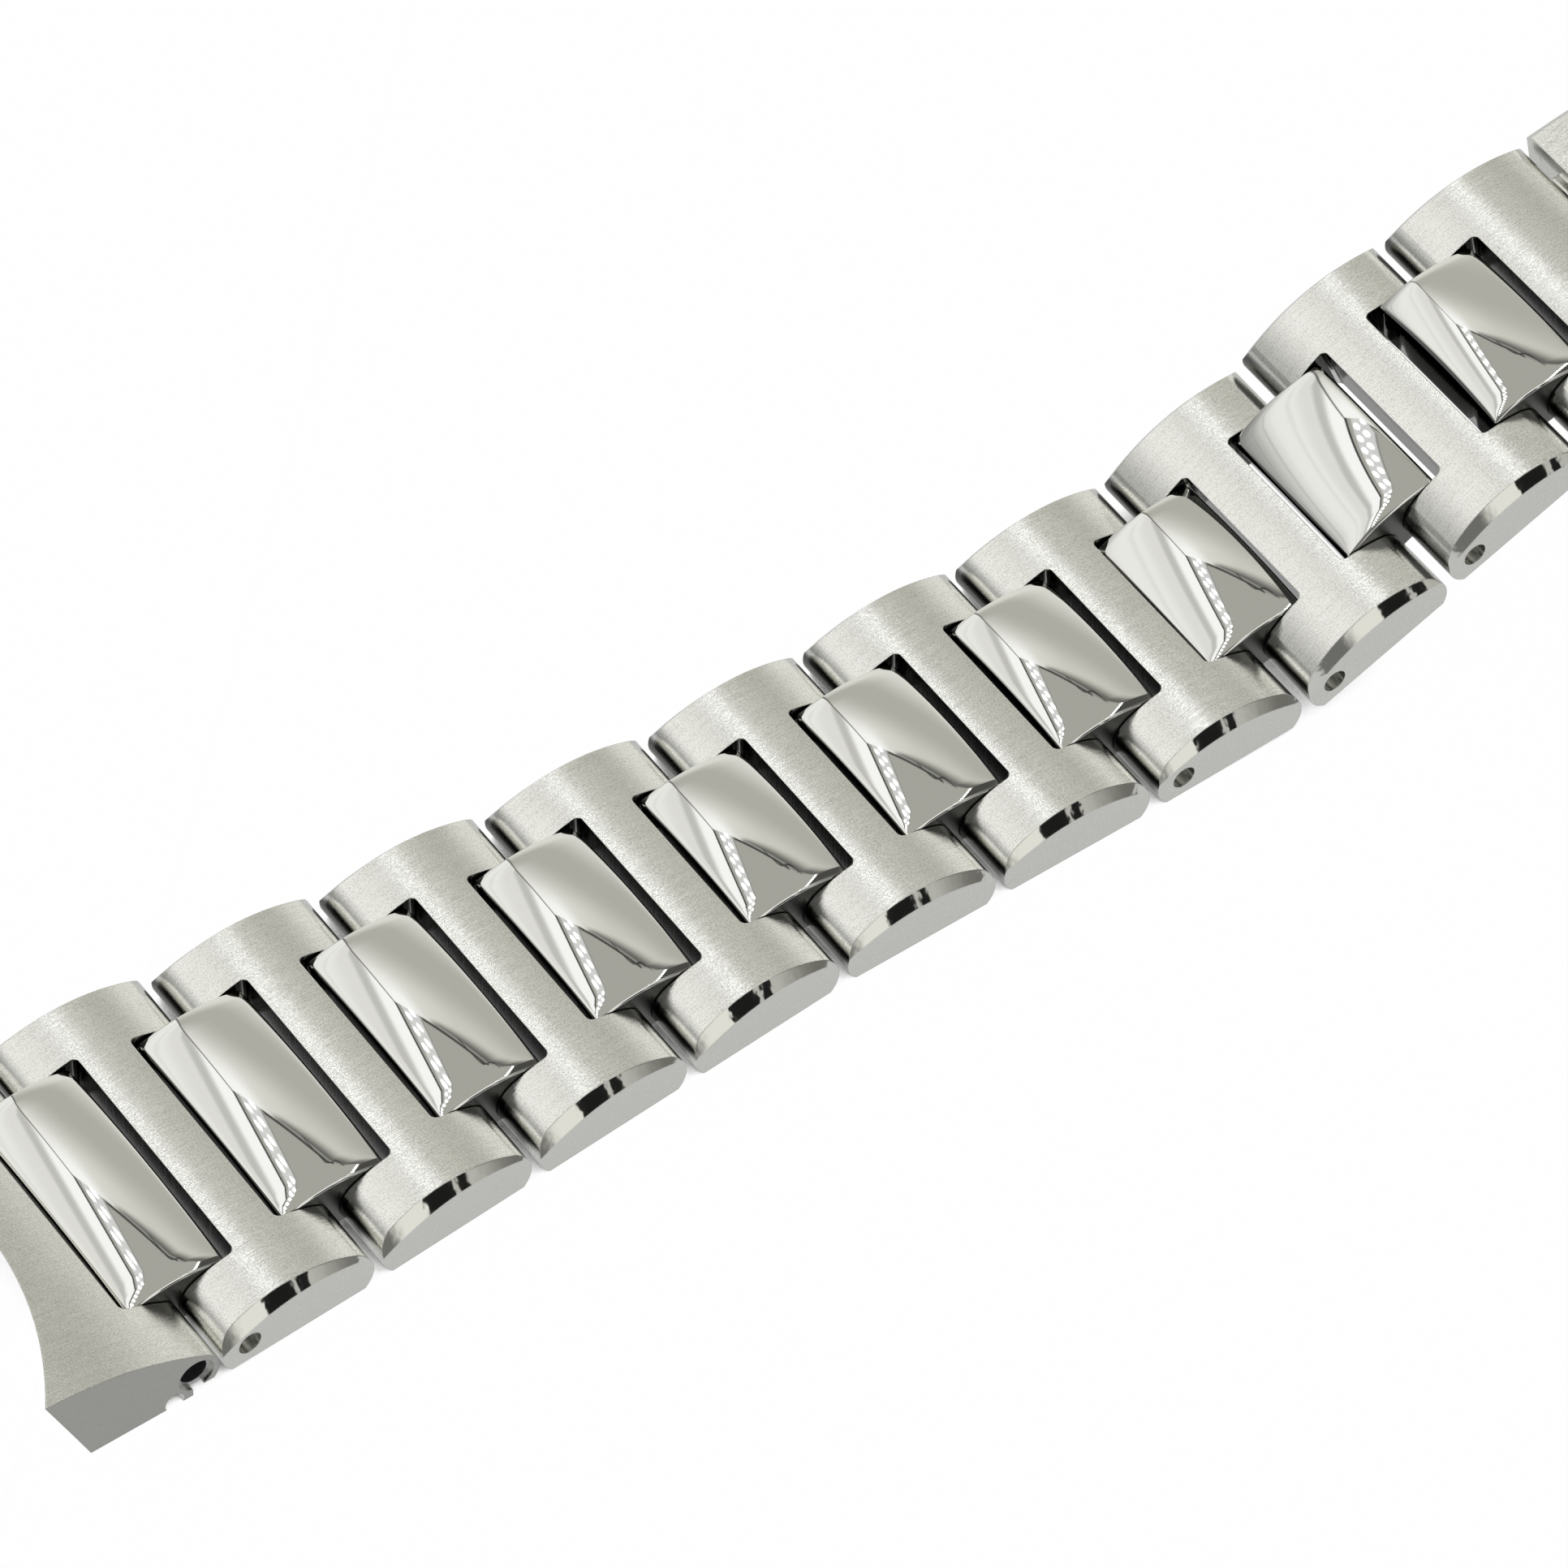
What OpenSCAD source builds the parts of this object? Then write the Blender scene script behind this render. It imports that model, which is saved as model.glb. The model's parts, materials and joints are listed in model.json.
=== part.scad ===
// Steel watch bracelet: H-shaped links, polished centre pads, curved end links
// and a folding clasp with two push buttons. Millimetres, +Z is the outer face.
// The origin is the middle of the lug bore of end link A, and +X runs along
// the bracelet towards the clasp. The bracelet lies on its inner face, and its
// middle rises to the clasp.

/* [Bracelet] */
// Pads and links on half A, the long half
count_a = 10; // [8:1:11]
// Pads and links on half B, the short half
count_b = 5; // [4:1:7]
// Slot between the cheeks at the lug end
slot_lug = 13; // [12:0.5:15]
// Slot between the cheeks at the clasp end
slot_clasp = 9; // [8:0.5:10]
// Loss of slot width from one link to the next
taper_step = 1; // [0.5:0.1:1.5]
// Width of one cheek, beside the slot
cheek_w = 3.45; // [3:0.05:4]

/* [Link] */
// Distance between the two pins of a link
link_span = 5.3; // [5:0.1:6]
// Crest of a link above its pins
link_crest = 2.12; // [1.9:0.02:2.4]
// Inner face of a link below its pins
link_belly = 1.1; // [0.9:0.05:1.3]
// Gap between the round ends of two links
link_gap = 0.49; // [0.3:0.01:0.7]
// Width of the crossbar between the two slots
crossbar_w = 2.48; // [2:0.02:2.8]
// Fillet at the inner corners of a slot
slot_fillet = 0.3; // [0.1:0.05:0.5]
// Width of a cheek's polished chamfer, seen from above
chamfer_in = 0.45; // [0.3:0.05:0.6]
// Drop of the polished chamfer at the middle of a cheek
chamfer_drop = 0.7; // [0.4:0.05:1]
// Radius of the chamfer's surface along the cheek
chamfer_bend_r = 16; // [14:0.5:24]

/* [Pad] */
// Distance between the two pins of a pad
pad_span = 3.45; // [3.2:0.05:3.8]
// Crest of a pad above its pins
pad_crest = 2.35; // [2.1:0.05:2.5]
// Fall of a pad's top from its crest to its upright ends
pad_fall = 0.45; // [0.3:0.05:0.6]
// Radius of a pad's corners along its upright ends
pad_corner_r = 0.3; // [0.2:0.05:0.5]
// Fall of a pad's crest from its middle to its flat sides
pad_bow = 0.35; // [0.1:0.05:0.5]
// Inner face of a pad below its pins
pad_belly = 0.98; // [0.9:0.02:1]
// Gap between a pad and a crossbar
pad_gap = 0.38; // [0.3:0.01:0.45]
// Gap between a pad's flat end and the cheek
pad_side_gap = 0.06; // [0.04:0.01:0.12]

/* [Pins] */
// Radius of the link pins
pin_r = 0.6; // [0.5:0.05:0.65]
// Running clearance of a pad or a blade on its pin
pin_run = 0.04; // [0.02:0.01:0.08]
// Depth of a removable pin's end below the cheek's face
pin_recess = 0.4; // [0.2:0.05:0.8]
// Wall left over the end of a fixed pin
pin_cover = 0.8; // [0.5:0.05:1.2]
// Links at the clasp end with a removable pin
removable_links = 4; // [2:1:6]

/* [End link] */
// Distance from the lug bore to the first link's pin
end_span = 2.85; // [2.8:0.05:3.2]
// Radius of the watch case that the end link fits
case_r = 18.3; // [16:0.1:21]
// Growth of the case radius from the end link's top to its inner face
case_flare = 1.7; // [0:0.1:2]
// Length of the end link from its bore to the case, at the middle
end_mid = 4.6; // [4:0.1:6]
// Height of the end link's top above its bore, at the case
end_rise = 3.7; // [3.2:0.1:4.2]
// Inner face of the end link below its bore
end_belly = 1.3; // [1.1:0.05:1.5]
// Radius of the end link's arched top
end_top_r = 16; // [12:0.5:22]
// Radius of the nose round the lug bore
nose_r = 1.2; // [1.15:0.05:1.3]
// Radius of the round notch behind the nose
nose_notch_r = 0.5; // [0.3:0.05:0.7]
// Outer radius of the lug tube
tube_r = 0.9; // [0.85:0.05:0.95]
// Radius of the lug tube's bore, for the spring bar
tube_bore_r = 0.7; // [0.6:0.05:0.75]
// Depth of the lug tube's ends below the side faces
tube_recess = 0.3; // [0.1:0.05:0.6]
// Radius of the first pad's end, round the lug tube
first_pad_r = 1.28; // [1.2:0.02:1.35]
// Gap between the first pad and the end link
first_pad_gap = 0.3; // [0.2:0.01:0.4]

/* [Clasp] */
// Length of the cover along its arched top
cover_len = 36; // [32:0.5:40]
// Radius of the cover's arched top
cover_arch_r = 80; // [60:1:100]
// Thickness of the cover's top
cover_skin = 0.9; // [0.7:0.05:1]
// Thickness of the cover's side walls
cover_wall = 1; // [0.8:0.05:1.1]
// Depth of the cover's side walls
cover_depth = 5; // [4.6:0.1:5.6]
// Bevel along the cover's upper side edges
cover_bevel = 0.35; // [0.1:0.05:0.6]
// Gap between the cover's ends and the links beside it
cover_gap = 0.35; // [0.3:0.05:0.6]
// Height of the cover's top above the link pins beside it
cover_step = 1.35; // [1.2:0.05:1.5]
// Thickness of the folding blades
blade_t = 0.8; // [0.6:0.05:0.85]
// Width of the folding blades
blade_w = 11.2; // [10.4:0.1:11.6]
// Width of both blades between the push buttons
blade_waist = 8.2; // [7.6:0.1:8.4]
// Depth of the upper blade below the cover's top
blade_upper_depth = 2.6; // [2.5:0.05:2.7]
// Depth of the lower blade below the cover's top
blade_lower_depth = 4.1; // [4:0.05:4.2]
// Radius of the clasp's hinge pins
clasp_pin_r = 0.5; // [0.4:0.05:0.55]
// Distance of the cover hinge from the cover's end
cover_hinge_in = 1.5; // [1.3:0.1:2]
// Distance of the blade hinge from the cover's other end
fold_hinge_in = 6.2; // [6:0.1:7]
// Distance of the bracelet bar from the cover's end
bar_in = 3; // [2.6:0.1:3.2]

/* [Push buttons] */
// Distance of the buttons from the cover's end
button_in = 10.5; // [10:0.1:12]
// Length of a button along the bracelet
button_len = 3.4; // [2.8:0.1:4]
// Height of a button
button_h = 1.5; // [1.2:0.1:1.7]
// Height of a button proud of the cover's side
button_proud = 0.9; // [0.85:0.05:1.2]
// Turns of a button spring
spring_turns = 7; // [5:1:9]
// Wire diameter of a button spring
spring_wire = 0.2; // [0.15:0.01:0.25]
// Outer diameter of a button spring
spring_d = 1.1; // [0.9:0.05:1.2]

/* [Rest pose] */
// Slope of the link next to the clasp on half A, in degrees
rest_last = 10; // [8:1:12]
// Slope of the steep links on half A, in degrees
rest_steep = 21.5; // [14:0.5:24]
// Extra slope of the pad between the steep links, in degrees
rest_pad_extra = 7.5; // [0:0.5:8]

/* [Hidden] */
$fa = 2;
$fs = 0.1;
STEEL = [0.74, 0.73, 0.70];
POLISHED = [0.80, 0.80, 0.77];
SIDE = [0.62, 0.62, 0.63];
link_end_r = (pad_span - link_gap) / 2;
pad_end_r = (link_span - crossbar_w) / 2 - pad_gap;
link_half = link_span / 2 + link_end_r;
deep = 60;
cover_w = slot_clasp + 2 * cheek_w;
end_w = slot_lug + 2 * cheek_w;
blade_lug_w = slot_clasp - 2 * pad_side_gap;

// Slots, widths and names
function slot(i) = max(slot_clasp, slot_lug - taper_step * (i - 1));
function half_w(i) = slot(i) / 2 + cheek_w;
function two(i) = str(i < 10 ? "0" : "", i);
function name_of(what, half, i) = str(what, "_", half, "_", two(i));
function count_of(half) = half == "a" ? count_a : count_b;
function removable(half, i) = i == 1 || i > count_of(half) - removable_links;
function row(what, half) = [for (i = [1:count_of(half)]) name_of(what, half, i)];

// Rest pose of half A: slopes in degrees, counted from the clasp backwards
function link_slope_a(i) =
    let (back = count_a - i)
    back == 0 ? rest_last : back <= 2 ? rest_steep : back == 3 ? 2
    : i == 1 ? -asin((end_belly - link_belly) / link_span) : 0;
function pad_slope_a(i) =
    let (back = count_a - i)
    back == 0 ? rest_last + 2 : back == 1 ? rest_steep + rest_pad_extra
    : back == 2 ? rest_steep / 2 + 1 : back == 3 ? 1 : 0;
function along(slope) = [cos(slope), sin(slope)];
function span_of(i) = i == 1 ? end_span : pad_span;
// Pins of half A: a pad starts where the link before it ends
function pad_at_a(i) = i == 1 ? [0, 0] : link_at_a(i - 1) + link_span * along(link_slope_a(i - 1));
function link_at_a(i) = pad_at_a(i) + span_of(i) * along(pad_slope_a(i));

// Clasp: an arch about clasp_c, with places given as an arc length from the
// cover's A end and a depth below the cover's top
last_mid = link_at_a(count_a) + link_span / 2 * along(rest_last);
cover_start = last_mid + (link_half + cover_gap) * along(rest_last)
    + cover_step * along(rest_last + 90);
clasp_c = cover_start - cover_arch_r * along(rest_last + 90);
function turn_at(s) = 90 + rest_last - s / cover_arch_r * 180 / PI;
function on_arch(s, depth) = clasp_c + (cover_arch_r - depth) * along(turn_at(s));
bar_depth = 2;
fold_depth = (blade_upper_depth + blade_lower_depth + blade_t) / 2;
knuckle_ease = 0.03;
ledge = 0.1;
crossing = 0.004;
fold_r = (blade_lower_depth + blade_t - blade_upper_depth) / 2 - knuckle_ease;
hinge_depth = blade_upper_depth + blade_t / 2;
hinge_r = 0.85;
cover_hinge_s = cover_len - cover_hinge_in;
blade_lug_s = cover_len + cover_gap + link_end_r;
bar_pin = on_arch(bar_in, bar_depth);
fold_pin_at = on_arch(fold_hinge_in, fold_depth);
cover_hinge = on_arch(cover_hinge_s, hinge_depth);
blade_lug = on_arch(blade_lug_s, cover_step);

// Rest pose of half B: it falls from the clasp to the floor in two links
b_fall = blade_lug[1] + end_belly - link_belly;
b_sine = b_fall / (2 * link_span + 1.5 * pad_span);
function link_slope_b(i) = i > count_b - 2 ? -asin(b_sine)
    : i == 1 ? asin((end_belly - link_belly) / link_span) : 0;
function pad_slope_b(i) = i == count_b ? -asin(b_sine) : i == count_b - 1 ? -asin(b_sine / 2) : 0;
function link_at_b(i) = i == count_b ? blade_lug
    : pad_at_b(i + 1) + pad_span * along(pad_slope_b(i + 1));
function pad_at_b(i) = link_at_b(i) + link_span * along(link_slope_b(i));
end_at_b = pad_at_b(1) + end_span * along(pad_slope_b(1));

// Puts a piece drawn in the XZ plane at point p with its own +X sloped
module place(p, slope) translate([p[0], 0, p[1]]) rotate([0, -slope, 0]) children();

// Extrudes an XZ outline across the bracelet
module across(w) rotate([90, 0, 0]) linear_extrude(w, center = true) children();

// A rod along Y at point p of the XZ plane
module rod(p, r, w) translate([p[0], 0, p[1]]) rotate([90, 0, 0]) cylinder(r = r, h = w, center = true);

// Side outline of a link or pad: two round ends under one tangent crown
module crowned(a, r1, r2, crown_r, belly) {
    cx = (r2 - r1) * (2 * crown_r - r1 - r2) / (4 * a);
    cz = -sqrt(pow(crown_r - r1, 2) - pow(cx + a, 2));
    top = cz + crown_r + 1;
    reach = 1.4;
    left = [cx, cz] + reach * ([-a, 0] - [cx, cz]);
    right = [cx, cz] + reach * ([a, 0] - [cx, cz]);
    intersection() {
        union() {
            translate([-a, 0]) circle(r1);
            translate([a, 0]) circle(r2);
            intersection() {
                translate([cx, cz]) circle(crown_r);
                polygon([[cx, cz], left, [left[0], top], [right[0], top], right]);
            }
        }
        translate([-deep / 2, -belly]) square([deep, deep]);
    }
}

// Radius of the crown over pins 2a apart, for a crest h over ends of radius r
function crown_over(a, r, h) = (a * a + h * h - r * r) / (2 * (h - r));

// Plan outline of a slot that opens towards -X, with filleted inner corners
module slot_plan(x_end, w) {
    translate([-deep / 2, -w / 2]) square([deep / 2 + x_end - slot_fillet, w]);
    translate([-deep / 2, slot_fillet - w / 2]) square([deep / 2 + x_end, w - 2 * slot_fillet]);
    for (s = [-1, 1])
        translate([x_end - slot_fillet, s * (w / 2 - slot_fillet)]) circle(slot_fillet);
}

// Cylinder whose surface is the chamfer on the +Y cheek
module chamfer_drum(w_mid, lean) {
    tip = atan(chamfer_in / chamfer_drop);
    u = cos(tip) * (w_mid - chamfer_in) + sin(tip) * link_crest - chamfer_bend_r;
    rotate([0, 0, -lean])
        translate([0, u * cos(tip), u * sin(tip)])
        rotate([tip, 0, 0]) cylinder(r = chamfer_bend_r, h = deep, center = true);
}

// Link body from a lug-side half width w1 to a clasp-side half width w2
module link_blank(w1, w2) {
    a = link_span / 2;
    lean = atan((w1 - w2) / (2 * link_half));
    intersection() {
        across(deep) crowned(a, link_end_r, link_end_r, crown_over(a, link_end_r, link_crest), link_belly);
        translate([0, 0, -deep / 2]) linear_extrude(deep)
            polygon([[-link_half, -w1], [link_half, -w2], [link_half, w2], [-link_half, w1]]);
        chamfer_drum((w1 + w2) / 2, lean);
        mirror([0, 1, 0]) chamfer_drum((w1 + w2) / 2, lean);
    }
}

// Half width of link i at its lug-side or clasp-side pin
function pin_half_w(i, side) =
    (half_w(i) + half_w(i + 1)) / 2 - side * (half_w(i) - half_w(i + 1)) / 2 * (link_span / 2) / link_half;

// Length of the bore for one of link i's pins
function bore_len(half, i, side) =
    side < 0 && removable(half, i) ? deep : 2 * (pin_half_w(i, side) - pin_cover);

function pin_len(half, i, side) =
    2 * (pin_half_w(i, side) - (side < 0 && removable(half, i) ? pin_recess : pin_cover));

// H-shaped link i, its lug side towards -X, centred between its pins
module h_link(half, i) {
    difference() {
        link_blank(half_w(i), half_w(i + 1));
        translate([0, 0, -deep / 2]) linear_extrude(deep) slot_plan(-crossbar_w / 2, slot(i));
        mirror([1, 0, 0]) translate([0, 0, -deep / 2]) linear_extrude(deep)
            slot_plan(-crossbar_w / 2, slot(i + 1));
        for (side = [-1, 1]) rod([side * link_span / 2, 0], pin_r, bore_len(half, i, side));
    }
}

// Pins of link i
module link_pins(half, i, sides) {
    for (side = sides) rod([side * link_span / 2, 0], pin_r, pin_len(half, i, side));
}

// Solid of revolution about an axis along X, deep below: its crest bows down
// by the given drop towards a width w. Its section is drawn in the XZ plane.
module bowed(w, drop, crest) {
    bow_r = (w * w / 4 + drop * drop) / (2 * drop);
    depth = bow_r - crest;
    half_turn = asin(w / 2 / bow_r) + 3;
    translate([0, 0, -depth]) rotate([0, -90, 0]) rotate([0, 0, -half_turn])
        rotate_extrude(angle = 2 * half_turn, $fn = 360) translate([depth, 0]) rotate(-90) children();
}

// Side outline of a pad: a crowned top with small round corners over two
// upright ends, which are round below the pins
module pad_outline(a, r1, r2) {
    left = -a - r1;
    half = (2 * a + r1 + r2) / 2;
    crown_r = (half * half + pad_fall * pad_fall) / (2 * pad_fall);
    middle = [left + half, pad_crest - crown_r];
    inset = pad_corner_r - crossing;
    rise = sqrt(pow(crown_r - inset, 2) - pow(half - inset, 2));
    difference() {
        intersection() {
            translate(middle) circle(crown_r);
            translate([left, -pad_belly - 0.5]) square([2 * half, deep]);
        }
        for (s = [-1, 1]) {
            corner = middle + [s * (half - inset), rise];
            pin = [s * a, 0];
            difference() {
                polygon([corner, corner + [s, 0], corner + [s, 1], corner + (corner - middle) / crown_r]);
                translate(corner) circle(pad_corner_r);
            }
            difference() {
                polygon([pin, pin + [2 * s, 0], pin + [2 * s, -2], pin + [0, -2]]);
                translate(pin) circle((s < 0 ? r1 : r2) + crossing);
            }
        }
    }
}

// Centre pad i, centred between its pins, its lug side towards -X
module centre_pad(i) {
    a = span_of(i) / 2;
    w = slot(i) - 2 * pad_side_gap;
    difference() {
        intersection() {
            bowed(w, pad_bow, pad_crest) pad_outline(a, i == 1 ? first_pad_r : pad_end_r, pad_end_r);
            translate([-deep / 2, -w / 2, -pad_belly]) cube([deep, w, deep]);
        }
        rod([-a, 0], (i == 1 ? tube_r : pin_r) + pin_run, deep);
        rod([a, 0], pin_r + pin_run, deep);
    }
}

// Curved end link with its lug bore at the origin and the case towards -X
module end_link() {
    cz = end_rise - end_top_r;
    cx = -sqrt(pow(end_top_r - nose_r, 2) - cz * cz);
    over = [-cx, -cz] * 3 / (end_top_r - nose_r);
    reach = end_mid + case_r;
    wall = -first_pad_r - first_pad_gap;
    flare = case_flare / (end_rise + end_belly);
    beyond = 1;
    difference() {
        across(end_w) difference() {
            union() {
                intersection() {
                    circle(nose_r);
                    translate([-deep / 2, -end_belly]) square([deep, deep]);
                }
                intersection() {
                    translate([cx, cz]) circle(end_top_r);
                    polygon([[-reach, -end_belly], [-reach, end_rise + 1], [over[0], end_rise + 1],
                        over, [0, 0], [0, -end_belly]]);
                }
            }
            translate([-nose_notch_r / 2, -end_belly - 1]) square([2 * nose_r, 1 + end_belly - nose_r * 0.7]);
            translate([-nose_r, nose_notch_r / 2 - end_belly]) circle(nose_notch_r);
        }
        translate([-end_mid - case_r, 0, -end_belly - beyond])
            cylinder(r1 = case_r + case_flare + flare * beyond, r2 = case_r - flare * beyond,
                h = end_rise + end_belly + 2 * beyond);
        translate([0, 0, -deep / 2]) linear_extrude(deep) mirror([1, 0])
            slot_plan(-wall, slot(1));
        rod([0, 0], tube_r, deep);
    }
}

// Tube pressed through the end link's cheeks; the first pad turns on it
module lug_tube() {
    difference() {
        rod([0, 0], tube_r, end_w - 2 * tube_recess);
        rod([0, 0], tube_bore_r, deep);
    }
}

// A piece of the arch from arc length s1 to s2, with its section drawn as
// [radius, y]
module arch(s1, s2) translate([clasp_c[0], 0, clasp_c[1]]) rotate([90, 0, 0])
    rotate([0, 0, turn_at(s2)]) rotate_extrude(angle = turn_at(s1) - turn_at(s2), $fa = 0.5) children();

// Section of a flat strip between two depths and two half widths
module strip(depth1, depth2, y1, y2) translate([cover_arch_r - depth2, y1]) square([depth2 - depth1, y2 - y1]);

// Last link of half A: a slot for its pad, and a tongue under the cover
tongue_w = 11.6;
tongue_r = 0.9;
tongue_depth = 1.25;
module last_link_a() {
    i = count_a;
    difference() {
        union() {
            place(last_mid, rest_last) difference() {
                link_blank(half_w(i), half_w(i + 1));
                translate([0, 0, -deep / 2]) linear_extrude(deep)
                    slot_plan(-crossbar_w / 2, slot(i));
                rod([-link_span / 2, 0], pin_r, bore_len("a", i, -1));
            }
            arch(-1.4, bar_in)
                strip(tongue_depth, cover_step + link_belly - 0.1, -tongue_w / 2, tongue_w / 2);
            rod(bar_pin, tongue_r, tongue_w + 2 * ledge);
        }
        rod(bar_pin, clasp_pin_r + pin_run, deep);
    }
}

// Arched cover with side walls, a window for each button and a spring post
module clasp_cover() {
    w = cover_w / 2;
    r = cover_arch_r;
    difference() {
        union() {
            arch(0, cover_len) polygon([
                [r - cover_depth, w], [r - cover_bevel, w], [r, w - cover_bevel],
                [r, cover_bevel - w], [r - cover_bevel, -w], [r - cover_depth, -w],
                [r - cover_depth, cover_wall - w], [r - cover_skin, cover_wall - w],
                [r - cover_skin, w - cover_wall], [r - cover_depth, w - cover_wall]]);
            arch(button_in - post_l / 2, button_in + post_l / 2)
                strip(cover_skin / 2, blade_upper_depth - 0.3, -post_w / 2, post_w / 2);
        }
        arch(button_in - button_len / 2 - button_run, button_in + button_len / 2 + button_run)
            strip(button_depth - button_run, button_depth + button_h + button_run, -deep / 2, deep / 2 );
        rod(cover_hinge, clasp_pin_r, deep);
        rod(bar_pin, bar_tip_r, deep);
    }
}

// Hinge pin of the cover, and the bar that holds half A
bar_tip_r = 0.35;
module clasp_cover_pins() {
    rod(cover_hinge, clasp_pin_r, cover_w - 0.2);
    rod(bar_pin, clasp_pin_r, cover_w - 2 * cover_wall - 0.1);
    rod(bar_pin, bar_tip_r, cover_w - 0.4);
}

// Upper blade, hinged to the cover at one end and to the lower blade at the other
knuckle_w = 4.4;
fold_clear = 0.15;
waist_s = button_in + button_len / 2 + 0.4;
module blade_upper() {
    top = blade_upper_depth;
    low = top + blade_t;
    difference() {
        union() {
            difference() {
                arch(fold_hinge_in, cover_hinge_s) strip(top, low, -blade_w / 2, blade_w / 2);
                side_cut(0, waist_s, blade_waist / 2, top, low);
                side_cut(0, fold_hinge_in + fold_r + fold_clear, knuckle_w / 2 - ledge, top, low);
            }
            rod(fold_pin_at, fold_r, knuckle_w);
            rod(cover_hinge, hinge_r, blade_w + 2 * ledge);
        }
        rod(fold_pin_at, clasp_pin_r + pin_run, deep);
        rod(cover_hinge, clasp_pin_r + pin_run, deep);
        blade_window(top - 0.5, low + 0.5);
    }
}

// Cuts a blade's two sides back to a half width between two arc lengths
module side_cut(s1, s2, half, top, low) {
    for (s = [0, 1]) mirror([0, s, 0]) arch(s1, s2) strip(top - 0.5, low + 0.5, half, deep / 2);
}

// Long window that lightens each blade, with round ends
window_w = 4;
window_s1 = 16;
window_s2 = 29;
module blade_window(depth1, depth2) {
    arch(window_s1, window_s2) strip(depth1, depth2, -window_w / 2, window_w / 2);
    for (s = [window_s1, window_s2]) {
        p = on_arch(s, depth2);
        translate([p[0], 0, p[1]]) rotate([0, 90 - turn_at(s), 0])
            cylinder(r = window_w / 2, h = depth2 - depth1);
    }
}

// Lower blade: fold knuckles, catch ears for the buttons and a lug for half B
knuckle_out = 10;
ear_l = 3;
ear_w = 13.4;
ear_t = 0.5;
lip_in = 11.7;
lip_t = 0.35;
ear_h = 0.9;
lug_r = 1.1;
riser_half = 0.3;
module blade_lower() {
    top = blade_lower_depth;
    low = top + blade_t;
    r = cover_arch_r;
    knuckle_in = knuckle_w / 2 + 0.1;
    difference() {
        union() {
            difference() {
                arch(fold_hinge_in, blade_lug_s + riser_half + ledge)
                    strip(top, low, ledge - ear_w / 2, ear_w / 2 - ledge);
                side_cut(0, button_in - ear_l / 2 + ledge, knuckle_out / 2 - ledge, top, low);
                side_cut(button_in + ear_l / 2 - ledge, waist_s, knuckle_out / 2 - ledge, top, low);
                side_cut(waist_s - 0.1, cover_len + cover_gap, blade_w / 2, top, low);
                side_cut(cover_len + cover_gap - 0.1, cover_len + 9, blade_lug_w / 2 - 2 * ledge, top, low);
                arch(0, fold_hinge_in + fold_r + fold_clear)
                    strip(top - 0.5, low + 0.5, -knuckle_in - ledge, knuckle_in + ledge);
            }
            for (s = [0, 1]) mirror([0, s, 0])
                translate([fold_pin_at[0], -knuckle_in, fold_pin_at[1]]) rotate([90, 0, 0])
                cylinder(r = fold_r, h = knuckle_out / 2 - knuckle_in);
            for (s = [0, 1]) mirror([0, s, 0]) arch(button_in - ear_l / 2, button_in + ear_l / 2)
                polygon([
                    [r - top - blade_t / 2, ear_w / 2 - ear_t], [r - top - blade_t / 2, ear_w / 2],
                    [r - top + ear_h, ear_w / 2], [r - top + ear_h, lip_in / 2],
                    [r - top + ear_h - lip_t, lip_in / 2], [r - top + ear_h - lip_t, ear_w / 2 - ear_t]]);
            arch(cover_len + cover_gap - 0.05, blade_lug_s + riser_half)
                strip(cover_step, top + blade_t / 2, ledge - blade_lug_w / 2, blade_lug_w / 2 - ledge);
            rod(blade_lug, lug_r, blade_lug_w);
        }
        rod(fold_pin_at, clasp_pin_r, knuckle_out - 0.8);
        rod(blade_lug, pin_r + pin_run, deep);
        blade_window(top - 0.5, low + 0.5);
    }
}

// Pin of the fold between the blades
module fold_pin() rod(fold_pin_at, clasp_pin_r, knuckle_out - 0.8);

// Push button on the -Y side: a cap in the window, a flange behind the wall,
// and an arm with a tooth under the lower blade's ear
post_w = 1;
post_l = 1.2;
button_run = 0.06;
button_depth = 1.15;
flange_over = 0.5;
arm_in = 10.2;
arm_t = 0.5;
arm_l = 1.8;
tooth_t = 0.35;
tooth_out = 0.55;
button_travel = 0.8;
module button() {
    r = cover_arch_r;
    inner = arm_in / 2;
    outer = inner + arm_t;
    tooth_top = blade_lower_depth - ear_h + lip_t + 0.1;
    tooth_low = tooth_top + tooth_t;
    s1 = button_in - button_len / 2;
    s2 = button_in + button_len / 2;
    arch(s1, s2) strip(button_depth, button_depth + button_h, outer + ledge, cover_w / 2 + button_proud);
    arch(s1 - flange_over, s2 + flange_over)
        strip(button_depth - ledge, button_depth + 1.2, outer - ledge, cover_w / 2 - cover_wall - ledge);
    arch(button_in - arm_l / 2, button_in + arm_l / 2) polygon([
        [r - button_depth - ledge, inner], [r - button_depth - ledge, outer], [r - tooth_top, outer],
        [r - tooth_top, outer + tooth_out], [r - tooth_low, outer + tooth_out], [r - tooth_low, inner]]);
}
module button_near() button();
module button_far() mirror([0, 1, 0]) button();

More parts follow.
